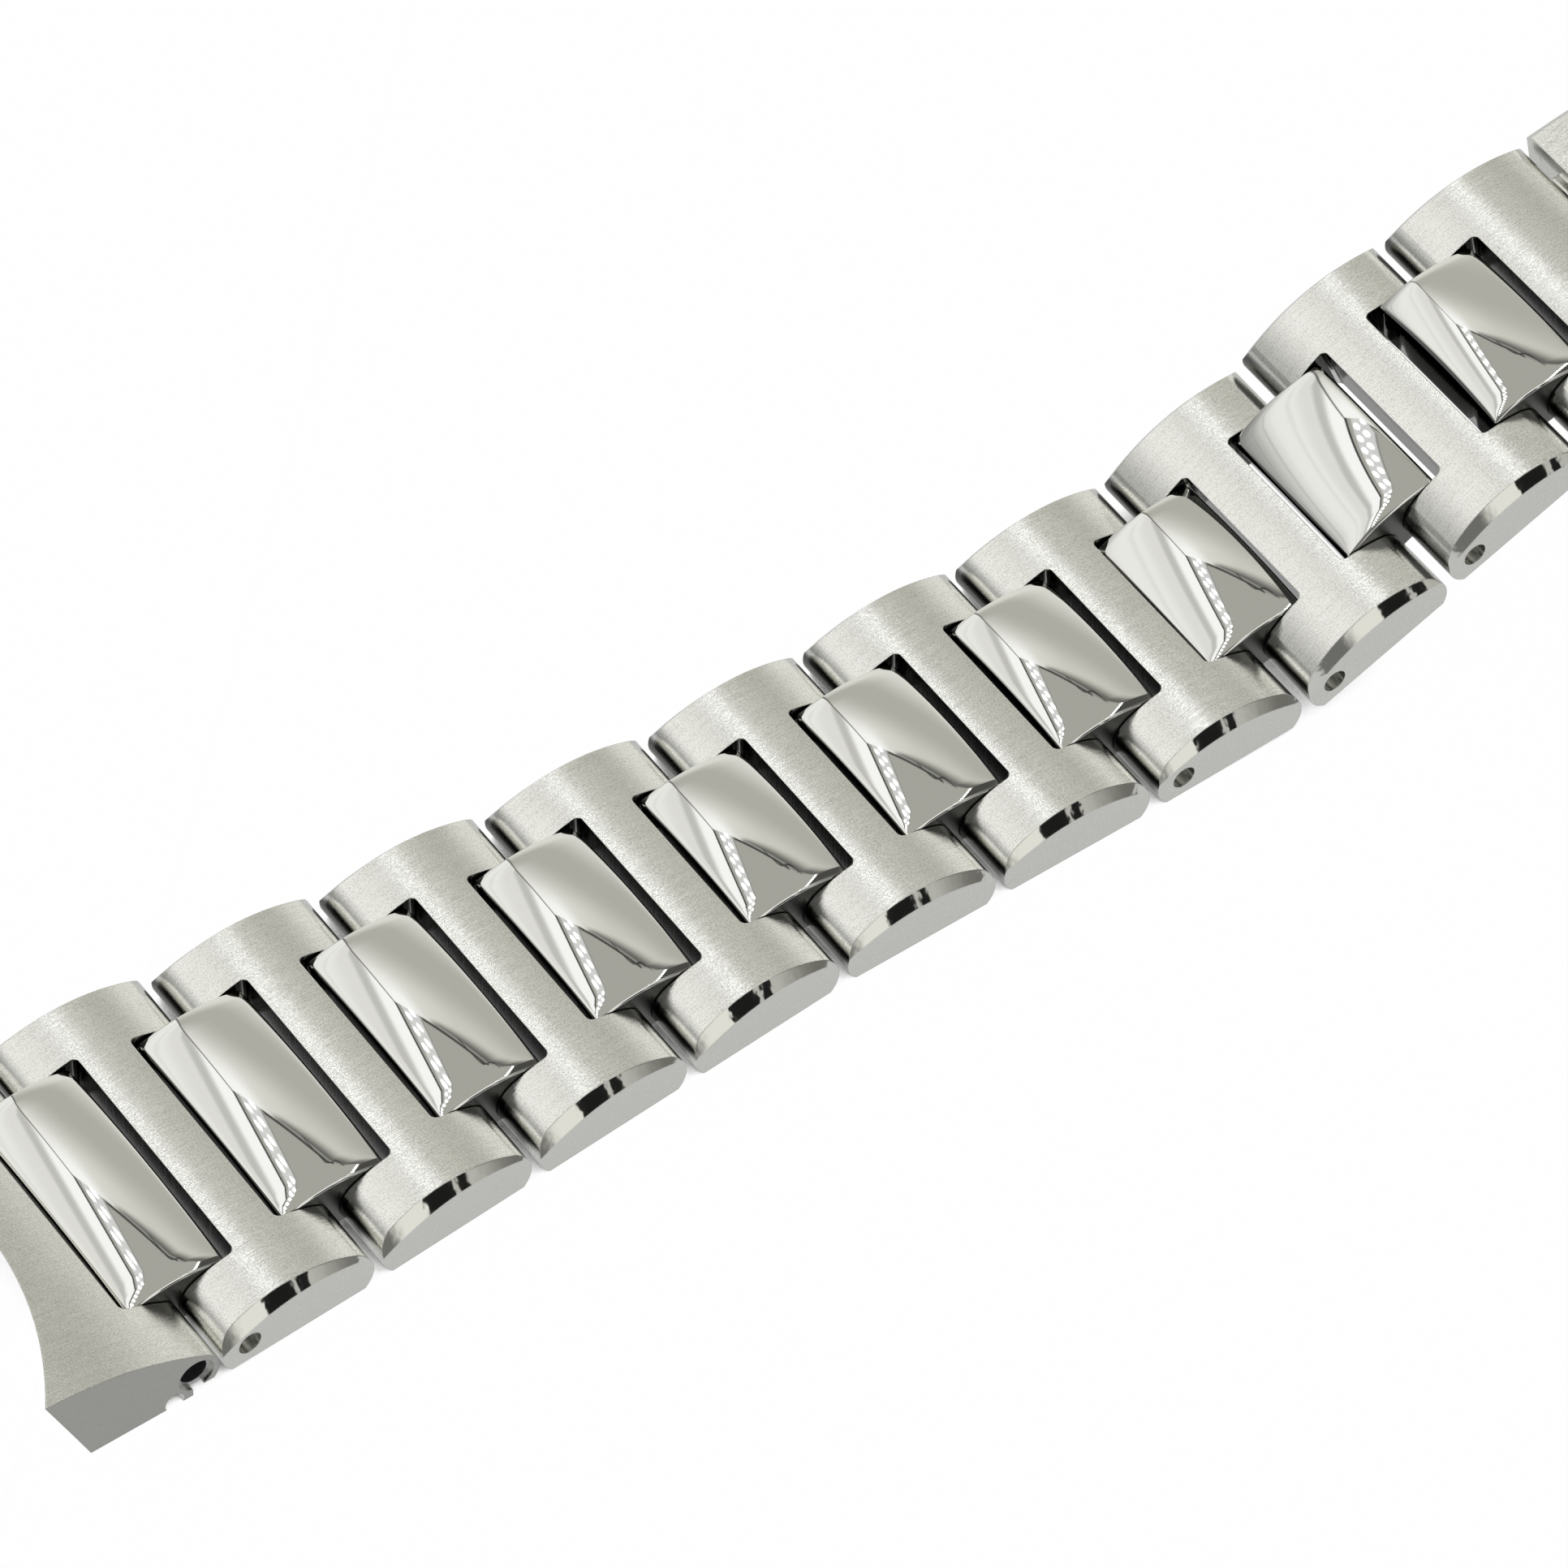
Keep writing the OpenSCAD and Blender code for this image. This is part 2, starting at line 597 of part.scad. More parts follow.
// Coil spring between the cover's post and a button's arm, along -Y
spring_sides = 6;
spring_rings = 12;
spring_len = arm_in / 2 - post_w / 2 - 0.04;
spring_depth = 1.75;
module coil() {
    rr = (spring_d - spring_wire) / 2;
    n = spring_turns * spring_rings;
    pitch = (spring_len - spring_wire) / spring_turns;
    slope = atan(pitch / (2 * PI * rr));
    ring = function (k) let (a = 360 * k / spring_rings, y = spring_wire / 2 + pitch * k / spring_rings)
        [for (j = [0:spring_sides - 1]) let (b = 360 * j / spring_sides, o = spring_wire / 2 * cos(b),
            v = spring_wire / 2 * sin(b))
            [(rr + o) * cos(a) + v * sin(slope) * sin(a), y + v * cos(slope),
             (rr + o) * sin(a) - v * sin(slope) * cos(a)]];
    points = [for (k = [0:n]) each ring(k)];
    m = spring_sides;
    sides = [for (k = [0:n - 1]) for (j = [0:m - 1]) let (p = k * m + j, q = k * m + (j + 1) % m)
        each [[p, q, p + m], [q, q + m, p + m]]];
    caps = [[for (j = [0:m - 1]) m - 1 - j], [for (j = [0:m - 1]) n * m + j]];
    polyhedron(points, concat(sides, caps));
}
module spring_near() {
    p = on_arch(button_in, spring_depth);
    color(POLISHED) translate([p[0], -post_w / 2 - 0.02, p[1]]) mirror([0, 1, 0]) coil();
}
module spring_far() mirror([0, 1, 0]) spring_near();

// Half B is half A's pattern mirrored, and it starts at the clasp
module at_link(half, i) {
    if (half == "a") place(link_at_a(i) + link_span / 2 * along(link_slope_a(i)), link_slope_a(i)) children();
    else place(link_at_b(i) + link_span / 2 * along(link_slope_b(i)), link_slope_b(i))
        mirror([1, 0, 0]) children();
}
module at_pad(half, i) {
    if (half == "a") place(pad_at_a(i) + span_of(i) / 2 * along(pad_slope_a(i)), pad_slope_a(i)) children();
    else place(pad_at_b(i) + span_of(i) / 2 * along(pad_slope_b(i)), pad_slope_b(i))
        mirror([1, 0, 0]) children();
}
module at_end(half) {
    if (half == "a") children();
    else place(end_at_b, 0) mirror([1, 0, 0]) children();
}
module link_node(half, i) color(STEEL) {
    if (half == "a" && i == count_a) last_link_a();
    else at_link(half, i) h_link(half, i);
}
module pins_node(half, i) color(POLISHED)
    at_link(half, i) link_pins(half, i, half == "a" && i == count_a ? [-1] : [-1, 1]);

for (half = ["a", "b"]) {
    color(STEEL) at_end(half) end_link();
    color(SIDE) at_end(half) lug_tube();
    for (i = [1:count_of(half)]) {
        color(POLISHED) at_pad(half, i) centre_pad(i);
        link_node(half, i);
        pins_node(half, i);
    }
}
color(STEEL) clasp_cover();
color(SIDE) clasp_cover_pins();
color(POLISHED) blade_upper();
color(POLISHED) blade_lower();
color(SIDE) fold_pin();
color(STEEL) button_near();
color(STEEL) button_far();
spring_near();
spring_far();
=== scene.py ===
"""Dresses the steel watch bracelet: its centre pads, finishes, light box, floor and camera."""
import json
import logging
import math
from dataclasses import dataclass, field
from enum import Enum
from typing import Any, Mapping, Optional, Sequence, Union

import bmesh
import bpy
from mathutils import Matrix, Vector


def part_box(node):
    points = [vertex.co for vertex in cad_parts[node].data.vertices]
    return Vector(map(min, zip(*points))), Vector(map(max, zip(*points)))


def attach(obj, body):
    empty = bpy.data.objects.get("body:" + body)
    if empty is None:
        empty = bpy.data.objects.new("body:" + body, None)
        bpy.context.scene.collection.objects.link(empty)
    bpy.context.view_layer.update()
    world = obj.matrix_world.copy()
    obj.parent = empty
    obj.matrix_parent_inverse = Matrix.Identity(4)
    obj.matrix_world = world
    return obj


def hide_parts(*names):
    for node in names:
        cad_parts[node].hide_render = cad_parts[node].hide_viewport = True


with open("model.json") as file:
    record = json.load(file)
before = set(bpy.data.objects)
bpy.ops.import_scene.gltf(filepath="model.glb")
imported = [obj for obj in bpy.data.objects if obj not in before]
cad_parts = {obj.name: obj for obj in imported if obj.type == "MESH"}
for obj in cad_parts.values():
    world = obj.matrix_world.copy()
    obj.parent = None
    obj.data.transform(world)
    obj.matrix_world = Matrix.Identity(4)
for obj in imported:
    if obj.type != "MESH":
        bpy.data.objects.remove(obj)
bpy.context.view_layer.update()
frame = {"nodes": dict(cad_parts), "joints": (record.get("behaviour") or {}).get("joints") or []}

MM = 0.001
log = logging.getLogger("bracelet")


class Ease(Enum):
    """How a ramp goes from its start to its end."""

    SMOOTH = "SMOOTHSTEP"
    STRAIGHT = "LINEAR"


class Wire:
    """A number, vector or colour that runs through a node tree; operators on it add Math nodes."""

    def __init__(self, bench: "Bench", socket: bpy.types.NodeSocket) -> None:
        """Wraps one output socket of the bench's tree."""
        self.bench = bench
        self.socket = socket

    def _math(self, operation: str, *values: "Value") -> "Wire":
        """Adds the Math node of one operation.

        Args:
            operation: the Math node's operation.
            values: its inputs, in order.

        Returns:
            The node's result.
        """
        settings = {"operation": operation}
        return self.bench.node("ShaderNodeMath", settings, dict(enumerate(values)))

    def __add__(self, other: "Value") -> "Wire":
        """self + other"""
        return self._math("ADD", self, other)

    def __radd__(self, other: "Value") -> "Wire":
        """other + self"""
        return self._math("ADD", other, self)

    def __sub__(self, other: "Value") -> "Wire":
        """self - other"""
        return self._math("SUBTRACT", self, other)

    def __rsub__(self, other: "Value") -> "Wire":
        """other - self"""
        return self._math("SUBTRACT", other, self)

    def __mul__(self, other: "Value") -> "Wire":
        """self * other"""
        return self._math("MULTIPLY", self, other)

    def __rmul__(self, other: "Value") -> "Wire":
        """other * self"""
        return self._math("MULTIPLY", other, self)

    def __truediv__(self, other: "Value") -> "Wire":
        """self / other"""
        return self._math("DIVIDE", self, other)

    def __gt__(self, other: "Value") -> "Wire":
        """1 where self > other, else 0"""
        return self._math("GREATER_THAN", self, other)

    def __lt__(self, other: "Value") -> "Wire":
        """1 where self < other, else 0"""
        return self._math("LESS_THAN", self, other)

    def __abs__(self) -> "Wire":
        """The size of self, without its sign."""
        return self._math("ABSOLUTE", self)

    def above(self, low: "Value") -> "Wire":
        """self, or low where self is lower."""
        return self._math("MAXIMUM", self, low)

    def repeat(self, period: float) -> "Wire":
        """self's remainder by a period, 0 to period."""
        return self._math("FLOORED_MODULO", self, period)

    def sine(self) -> "Wire":
        """The sine of self, in radians."""
        return self._math("SINE", self)

    def ramp(self, start: float, end: float, ease: Ease = Ease.SMOOTH) -> "Wire":
        """Goes from 0 at start to 1 at end, and stays there.

        Args:
            start: where the ramp leaves 0.
            end: where it reaches 1; it may be below start.
            ease: how it goes between them.

        Returns:
            The ramp's value.
        """
        inputs = {"Value": self, "From Min": start, "From Max": end}
        return self.bench.node("ShaderNodeMapRange", {"interpolation_type": ease.value}, inputs)

    def line(self, middle: "Value", half_width: float, soft: float) -> "Wire":
        """1 within half_width of middle, falling to 0 over soft."""
        return abs(self - middle).ramp(half_width + soft, half_width)


Value = Union[Wire, float]


class Bench:
    """One node tree, with one method that adds any node."""

    def __init__(self, tree: bpy.types.NodeTree) -> None:
        """Takes an empty tree over."""
        self.tree = tree
        tree.nodes.clear()

    def node(
        self,
        kind: str,
        settings: Optional[Mapping[str, Any]] = None,
        inputs: Optional[Mapping[Union[str, int], Any]] = None,
        output: Union[str, int] = 0,
    ) -> Wire:
        """Adds a node.

        Args:
            kind: the node's type.
            settings: its own settings, which are set first.
            inputs: a value or a Wire for each named or numbered socket.
            output: the name or number of the socket to give back.

        Returns:
            The Wire from that output.
        """
        made = self.tree.nodes.new(kind)
        for name, value in (settings or {}).items():
            setattr(made, name, value)
        for name, value in (inputs or {}).items():
            if isinstance(value, Wire):
                self.tree.links.new(value.socket, made.inputs[name])
            else:
                made.inputs[name].default_value = value
        return Wire(self, made.outputs[output] if made.outputs else made.inputs[0])

    def parts(self, vector: Wire) -> tuple[Wire, Wire, Wire]:
        """The x, y and z of a vector."""
        split = self.node("ShaderNodeSeparateXYZ", None, {"Vector": vector})
        return tuple(Wire(self, socket) for socket in split.socket.node.outputs)

    def vector(self, x: Value, y: Value, z: Value) -> Wire:
        """A vector of three numbers."""
        return self.node("ShaderNodeCombineXYZ", None, {"X": x, "Y": y, "Z": z})

    def noise(self, place: Wire, scale: float, detail: float) -> Wire:
        """A noise of 0 to 1 at a place."""
        inputs = {"Vector": place, "Scale": scale, "Detail": detail, "Roughness": 0.6}
        return self.node("ShaderNodeTexNoise", {"noise_dimensions": "3D"}, inputs)

    def mix(self, share: Value, first: Any, second: Any) -> Wire:
        """A colour between two.

        Args:
            share: 0 for the first colour, 1 for the second.
            first: a colour or a Wire.
            second: a colour or a Wire.

        Returns:
            The mixed colour.
        """
        settings = {"data_type": "RGBA"}
        return self.node("ShaderNodeMix", settings, {0: share, 6: first, 7: second}, 2)

    def coat(self, colour: Any, *coats: tuple[Value, Any]) -> Wire:
        """Lays colours over one another.

        Args:
            colour: the lowest colour.
            coats: the share and the colour of each coat, from the lowest up.

        Returns:
            The colour that shows.
        """
        for share, tone in coats:
            colour = self.mix(share, colour, tone)
        return colour


def grey(level: float, warm: float = 0.0) -> tuple[float, float, float, float]:
    """A grey of one level, a little yellower where warm is above 0."""
    return (level, level * (1 - 0.15 * warm), level * (1 - warm), 1.0)


class Slot(Enum):
    """The record's material slots."""

    BRUSHED = "brushed"
    POLISHED = "polished"
    PLAIN = "plain"


@dataclass(frozen=True)
class Finish:
    """Steel with the marks of its last tool; brushed along the bracelet unless told otherwise.

    Lengths are in metres. A facing is the size of one part of a face's normal, 0 to 1.
    """

    name: str
    slot: Slot
    colour: tuple[float, float, float]
    roughness: float
    roughness_spread: float

    # Strokes of the brush: fine ones, and broad ones that are so many times as wide
    stroke_width: float = 0.05 * MM
    stroke_length: float = 2 * MM
    stroke_depth: float = 0.006 * MM
    stroke_tint: float = 0.4
    broad_strokes: float = 6.0
    broad_tint: float = 0.4

    # Grain of the cut metal, with painted glints: bright specks in the colour, standing in for
    # sparkle, where it is strongest
    grain_size: float = 0.07 * MM
    grain_tint: float = 0.8
    grain_depth: float = 0.001 * MM
    glint_range: tuple[float, float] = (0.6, 0.75)
    glint_share: float = 0.5

    # Edges, and the sides, where the marks are weaker
    edge_round: float = 0.08 * MM
    side_facing: float = 0.93
    side_tint_loss: float = 0.8
    side_depth_loss: float = 0.7
    side_roughness: float = 0.0
    side_shade: float = 0.0

    # Chamfers that stay polished, with a faint wave
    mirror_chamfers: bool = False
    chamfer_facing: float = 0.3
    chamfer_roughness: float = 0.04
    wave_depth: float = 0.005 * MM
    wave_size: float = 0.5 * MM

    # Shade in the slots that the pads turn in, and on the near ends of the cheeks
    gap_shade: float = 0.0
    slot_narrow: float = 4.5 * MM
    slot_taper: float = 0.0571
    slot_end_a: float = 119.3 * MM
    slot_end_b: float = 46.7 * MM
    slot_margin: float = 0.12 * MM
    wall_facing: tuple[float, float] = (0.78, 0.85)
    end_facing: tuple[float, float] = (0.88, 0.98)
    near_end: tuple[float, float] = (-8.4 * MM, -7.4 * MM)
    near_end_shade: float = 0.85

    def strokes(self, bench: Bench, place: Wire, side: Wire, width: float) -> Wire:
        """Strokes along the bracelet.

        Args:
            bench: the material's tree.
            place: the point on the object, in metres.
            side: 1 on faces that look sideways, 0 elsewhere.
            width: the strokes' width in metres.

        Returns:
            A noise of 0 to 1, long in x and thin across.
        """
        x, y, z = bench.parts(place)
        across = y * (1 - side) + z * side
        other_noise = side * 7.0
        stretched = bench.vector(x * (1 / self.stroke_length), across * (1 / width), other_noise)
        return bench.noise(stretched, 1.0, 3.0)

    def chamfers(self, sideways: Wire, upward: Wire) -> Wire:
        """1 on the chamfers that stay polished, 0 elsewhere."""
        slanted = (sideways > self.chamfer_facing) * (sideways < self.side_facing)
        return slanted * (upward > self.chamfer_facing) * float(self.mirror_chamfers)

    def gaps(self, bench: Bench, place: Wire, lengthways: Wire, side: Wire) -> Wire:
        """The shade in the gaps between the pieces.

        Args:
            bench: the material's tree.
            place: the point on the object, in metres.
            lengthways: how far a face looks along the bracelet, 0 to 1.
            side: 1 on faces that look sideways, 0 elsewhere.

        Returns:
            The share of light that a face loses.
        """
        x, y, _ = bench.parts(place)
        half_a = (self.slot_end_a - x) * self.slot_taper
        half_b = (x - self.slot_end_b) * self.slot_taper
        slot_half = half_a.above(half_b).above(self.slot_narrow)
        in_slot = abs(y) < slot_half + self.slot_margin
        walls = (lengthways.ramp(*self.wall_facing) * (1 - side)).above(side)
        ends = lengthways.ramp(*self.end_facing) * y.ramp(*self.near_end) * self.near_end_shade
        return (walls * in_slot * self.gap_shade).above(ends)

    def material(self) -> bpy.types.Material:
        """Makes the finish's material.

        Returns:
            A node material with its marks, painted glints and the painted shade of the gaps in
            colour, and its marks in roughness and normal.
        """
        made = bpy.data.materials.new("steel_" + self.name)
        made.use_nodes = True
        bench = Bench(made.node_tree)
        place = bench.node("ShaderNodeTexCoord", None, None, "Object")
        facing = bench.node("ShaderNodeTexCoord", None, None, "Normal")
        lengthways, sideways, upward = bench.parts(facing)
        side = abs(sideways) > self.side_facing
        fine = self.strokes(bench, place, side, self.stroke_width)
        broad = self.strokes(bench, place, side, self.stroke_width * self.broad_strokes)
        grain = bench.noise(place, 1 / self.grain_size, 1.0)
        # Painted glints: bright specks in the colour where the grain is strongest, standing in for
        # the steel's sparkle
        painted_glints = grain.ramp(*self.glint_range) * self.glint_share
        chamfer = self.chamfers(abs(sideways), upward)
        marked = 1 - chamfer

        shade = (fine - 0.5) * self.stroke_tint
        shade = shade + (broad - 0.5) * (self.stroke_tint * self.broad_tint)
        shade = shade + (grain - 0.5 + painted_glints) * self.grain_tint
        shade = 1 + shade * marked * (1 - side * self.side_tint_loss) - side * self.side_shade
        if self.gap_shade:
            shade = shade * (1 - self.gaps(bench, place, abs(lengthways), side))
        scaling = {0: self.colour, "Scale": shade}
        tint = bench.node("ShaderNodeVectorMath", {"operation": "SCALE"}, scaling)

        rough = (broad - 0.5) * self.roughness_spread + self.roughness
        rough = rough * marked + self.chamfer_roughness * chamfer
        if self.side_roughness:
            rough = rough * (1 - side) + self.side_roughness * side

        height = fine * self.stroke_depth + grain * self.grain_depth
        height = height * marked * (1 - side * self.side_depth_loss)
        wave = bench.noise(place, 1 / self.wave_size, 1.0)
        height = height + wave * chamfer * self.wave_depth
        rounded = bench.node("ShaderNodeBevel", {"samples": 4}, {"Radius": self.edge_round})
        inputs = {"Strength": 1.0, "Distance": 1.0, "Height": height, "Normal": rounded}
        relief = bench.node("ShaderNodeBump", None, inputs)

        inputs = {"Base Color": tint, "Metallic": 1.0, "Roughness": rough, "Normal": relief}
        skin = bench.node("ShaderNodeBsdfPrincipled", None, inputs)
        bench.node("ShaderNodeOutputMaterial", None, {"Surface": skin})
        return made


LINK_STEEL = Finish(
    "link", Slot.BRUSHED, (0.91, 0.91, 0.87), roughness=0.15, roughness_spread=0.05,
    mirror_chamfers=True, gap_shade=0.89,
)
END_STEEL = Finish(
    "end_link", Slot.BRUSHED, (0.85, 0.85, 0.81), roughness=0.2, roughness_spread=0.08,
    side_roughness=0.42, side_shade=0.3,
)
COVER_STEEL = Finish(
    "cover", Slot.BRUSHED, (0.9, 0.9, 0.86), roughness=0.16, roughness_spread=0.08,
)
PAD_STEEL = Finish(
    "pad", Slot.POLISHED, (0.91, 0.91, 0.885), roughness=0.03, roughness_spread=0.01,
    stroke_width=0.6 * MM, stroke_length=3 * MM, stroke_depth=0.00003 * MM, stroke_tint=0.0,
    grain_tint=0.0, grain_depth=0.0, edge_round=0.02 * MM, side_roughness=0.35, gap_shade=0.8,
)
POLISHED_STEEL = Finish(
    "polished", Slot.POLISHED, (0.9, 0.9, 0.88), roughness=0.08, roughness_spread=0.04,
    stroke_width=0.2 * MM, stroke_depth=0.0001 * MM, stroke_tint=0.04,
    grain_tint=0.0, grain_depth=0.0, edge_round=0.05 * MM,
)
# The pins' dark colour is painted shade: it makes their ends look dark down in the pin holes
PIN_STEEL = Finish(
    "pin", Slot.PLAIN, (0.3, 0.3, 0.28), roughness=0.22, roughness_spread=0.1,
    stroke_width=0.1 * MM, stroke_length=1 * MM, stroke_depth=0.002 * MM, stroke_tint=0.2,
    grain_tint=0.0, grain_depth=0.0, edge_round=0.05 * MM,
)
PLAIN_STEEL = Finish(
    "plain", Slot.PLAIN, (0.62, 0.62, 0.63), roughness=0.32, roughness_spread=0.1,
    stroke_width=0.1 * MM, stroke_depth=0.002 * MM, stroke_tint=0.12,
    grain_tint=0.0, grain_depth=0.0, edge_round=0.05 * MM,
)


@dataclass
class LightBox:
    """A square box of white cloth with lamp strips under its grey lid, open at the front.

    Lengths are in heights of the box above the bracelet; left, right and back are its walls.
    """

    towards_front: tuple[float, float] = (-0.62, -0.785)
    left: float = 0.295
    right: float = 0.5
    back: float = 0.62
    open_front: tuple[float, float] = (0.6, 0.75)
    lid: tuple[float, float, float, float] = (0.4, 0.4, 0.365, 1.0)

    # Two rows of lamps on a board by the left wall, each shifted by a share of the gap
    board_edge: float = -0.205
    board_slant: float = 0.06
    board_step: float = -0.262
    lamp_glow: float = 5.0
    lamp_gap: float = 0.076
    lamp_rows: tuple[tuple[float, float], ...] = ((-0.243, 0.0), (-0.208, 0.5))
    lamp_squash: tuple[float, float] = (0.6, 1.3)
    lamp_rim: tuple[float, float] = (0.00026, 0.00012)

    # One row of round lamps by the right wall
    far_row: float = 0.47
    far_gap: float = 0.06
    far_end: float = -0.05
    far_rim: tuple[float, float] = (0.0005, 0.0003)

    # The lid's back seam and the cable that hangs by it
    seam: float = -0.61
    seam_reach: float = 0.16
    loop: float = -0.625
    loop_sway: float = 0.035
    loop_turns: float = 30.0
    loop_start: float = 1.2
    loop_from: float = 0.02
    loop_to: float = 0.27

    def paint(self, bench: Bench) -> Wire:
        """Paints the box's inside by direction.

        Args:
            bench: the world's tree.

        Returns:
            The colour that the bracelet sees in each direction.
        """
        direction = bench.node("ShaderNodeTexCoord", None, None, "Generated")
        x, y, z = bench.parts(direction)
        front_x, front_y = self.towards_front
        to_front = x * front_x + y * front_y
        to_right = x * -front_y + y * front_x

        # Where the direction leaves the box
        reach_left = to_right * (-1 / self.left)
        reach_right = to_right * (1 / self.right)
        reach_back = to_front * (-1 / self.back)
        reach = z.above(reach_left).above(reach_right).above(reach_back).above(0.001)
        along = to_front / reach
        across = to_right / reach
        height = z / reach
        steepness = z.above(0.05)
        over_front = to_front / steepness
        over_right = to_right / steepness

        # Where the walls, the lid, the open front and the ground show
        on_back = reach_back > reach_left
        on_right = (reach_right > reach_back) * (reach_right > reach_left)
        on_lid = height > 0.9999
        corner = (reach_left / reach_back.above(0.001)).line(1.0, 0.008, 0.022)
        corner = corner * (1 - on_lid) * (reach_back > 0.0)
        outside = along.ramp(*self.open_front)
        below = z.ramp(0.0, -0.04)
        return bench.coat(
            self.left_wall(bench, over_right, height),
            (on_back, self.back_wall(bench, across, height)),
            (on_right, self.right_wall(bench, along, height)),
            (on_lid, self.lid_inside(bench, along, across)),
            (corner * 0.85, grey(0.05)),
            (self.cable(over_front, over_right) * 0.88, grey(0.02)),
            (outside, grey(0.16, 0.05)),
            (below, grey(0.35)),
        )

    def lid_inside(self, bench: Bench, along: Wire, across: Wire) -> Wire:
        """The grey lid with its lamps.

        Args:
            bench: the world's tree.
            along: the place on the lid towards the front.
            across: the place on the lid towards the right.

        Returns:
            The lid's colour.
        """
        edge = self.board_edge - along.above(-0.6) * self.board_slant
        board = (across > -self.left) * (across < edge)
        board_tone = bench.mix(across > self.board_step, grey(0.4, 0.1), grey(0.66))
        glow = grey(self.lamp_glow)
        coats = [(board, board_tone)]
        squash_along, squash_across = self.lamp_squash
        for row, shift in self.lamp_rows:
            shifted = along + shift * self.lamp_gap
            step = shifted.repeat(self.lamp_gap) - self.lamp_gap / 2
            sideways = across - row
            distance = step * step * squash_along + sideways * sideways * squash_across
            coats.append((distance.ramp(*self.lamp_rim), glow))
        step = along.repeat(self.far_gap) - self.far_gap / 2
        sideways = across - self.far_row
        distance = step * step + sideways * sideways
        coats.append((distance.ramp(*self.far_rim) * (along < self.far_end), glow))
        board_shade = across.line(edge, 0.002, 0.003) * 0.6
        wall_seam = across.line(-self.left, 0.011, 0.004)
        return bench.coat(self.lid, *coats, (board_shade, grey(0.08)), (wall_seam, grey(0.03)))

    def cable(self, over_front: Wire, over_right: Wire) -> Wire:
        """The lid's back seam and the cable, which hangs in a loop along it.

        Args:
            over_front: the direction's slope towards the front.
            over_right: the direction's slope towards the right.

        Returns:
            1 on either of them, 0 elsewhere.
        """
        in_seam = (over_right > -self.seam_reach) * (over_right < self.seam_reach)
        seam = over_front.line(self.seam, 0.009, 0.004) * in_seam
        bend = (over_right * self.loop_turns - self.loop_start).sine() * self.loop_sway
        in_loop = (over_right > self.loop_from) * (over_right < self.loop_to)
        loop = over_front.line(bend + self.loop, 0.005, 0.004) * in_loop
        return seam.above(loop)

    def left_wall(self, bench: Bench, over_right: Wire, height: Wire) -> Wire:
        """White cloth, brightest along the lamps, with a soft upright fold.

        Args:
            bench: the world's tree.
            over_right: the direction's slope towards the right.
            height: the place on the wall, 0 at its foot and 1 at the lid.

        Returns:
            The wall's colour.
        """
        far_down = over_right.ramp(-0.52, -0.7)
        fold = over_right.line(-0.43, 0.01, 0.045)
        by_lamps = over_right.ramp(-0.4, -0.36)
        creases = bench.noise(bench.vector(over_right * 3.0, height * 1.5, 0.0), 1.0, 2.0)
        creased = creases.ramp(0.45, 0.75) * over_right.ramp(-0.5, -0.8)
        foot = height.ramp(0.3, 0.0)
        return bench.coat(
            grey(0.78, 0.04),
            (far_down, grey(0.88, 0.03)),
            (fold, grey(0.56, 0.04)),
            (by_lamps, grey(1.0)),
            (creased, grey(0.6, 0.04)),
            (foot, grey(0.25, 0.04)),
        )

    def back_wall(self, bench: Bench, across: Wire, height: Wire) -> Wire:
        """White cloth, darker downward and to the right, with a shaded band under the lid.

        Args:
            bench: the world's tree.
            across: the place on the wall towards the right.
            height: the place on the wall, 0 at its foot and 1 at the lid.

        Returns:
            The wall's colour.
        """
        rightward = across.ramp(-0.26, 0.06, Ease.STRAIGHT)
        middle = height.ramp(0.82, 0.5)
        foot = height.ramp(0.42, 0.18)
        band_edge = 0.87 - across * 0.6
        depth = (height - band_edge) / (1 - band_edge)
        band = depth.ramp(0.0, 0.75) * across.ramp(-0.12, -0.05)
        rim = (height > 0.968) * across.ramp(-0.12, -0.08)
        by_lamps = across.ramp(-0.1, -0.22) * height.ramp(0.7, 0.95)
        return bench.coat(
            grey(0.84, 0.05),
            (rightward, grey(0.64, 0.1)),
            (middle, grey(0.46, 0.1)),
            (foot, grey(0.76, 0.07)),
            (band * 0.92, grey(0.1, 0.08)),
            (rim, grey(0.3, 0.08)),
            (by_lamps, grey(1.0)),
        )

    def right_wall(self, bench: Bench, along: Wire, height: Wire) -> Wire:
        """White cloth with a dark opening near its foot, dark above towards the back.

        Args:
            bench: the world's tree.
            along: the place on the wall towards the front.
            height: the place on the wall, 0 at its foot and 1 at the lid.

        Returns:
            The wall's colour.
        """
        backward = along.ramp(0.26, 0.08)
        forward = along.ramp(0.434, 0.454)
        opening = along.line(0.38, 0.066, 0.008).above(along.line(0.27, 0.016, 0.008))
        low_opening = opening * height.ramp(0.39, 0.26)
        upper = height.ramp(0.33, 0.6)
        upper_tone = bench.mix(along.ramp(-0.15, 0.1), grey(0.07, 0.1), grey(0.9, 0.04))
        return bench.coat(
            grey(0.5, 0.06),
            (backward, grey(0.16, 0.1)),
            (forward, grey(0.8, 0.07)),
            (low_opening, grey(0.012)),
            (upper, upper_tone),
        )

    def light(self) -> None:
        """Makes the world: the box for light and reflections, white for the camera."""
        world = bpy.data.worlds.new("light_box")
        bpy.context.scene.world = world
        world.use_nodes = True
        bench = Bench(world.node_tree)
        seen = bench.node("ShaderNodeLightPath", None, None, "Is Camera Ray")
        colour = bench.mix(seen, self.paint(bench), grey(1.0))
        shine = bench.node("ShaderNodeBackground", None, {"Color": colour, "Strength": 1.0})
        bench.node("ShaderNodeOutputWorld", None, {"Surface": shine})


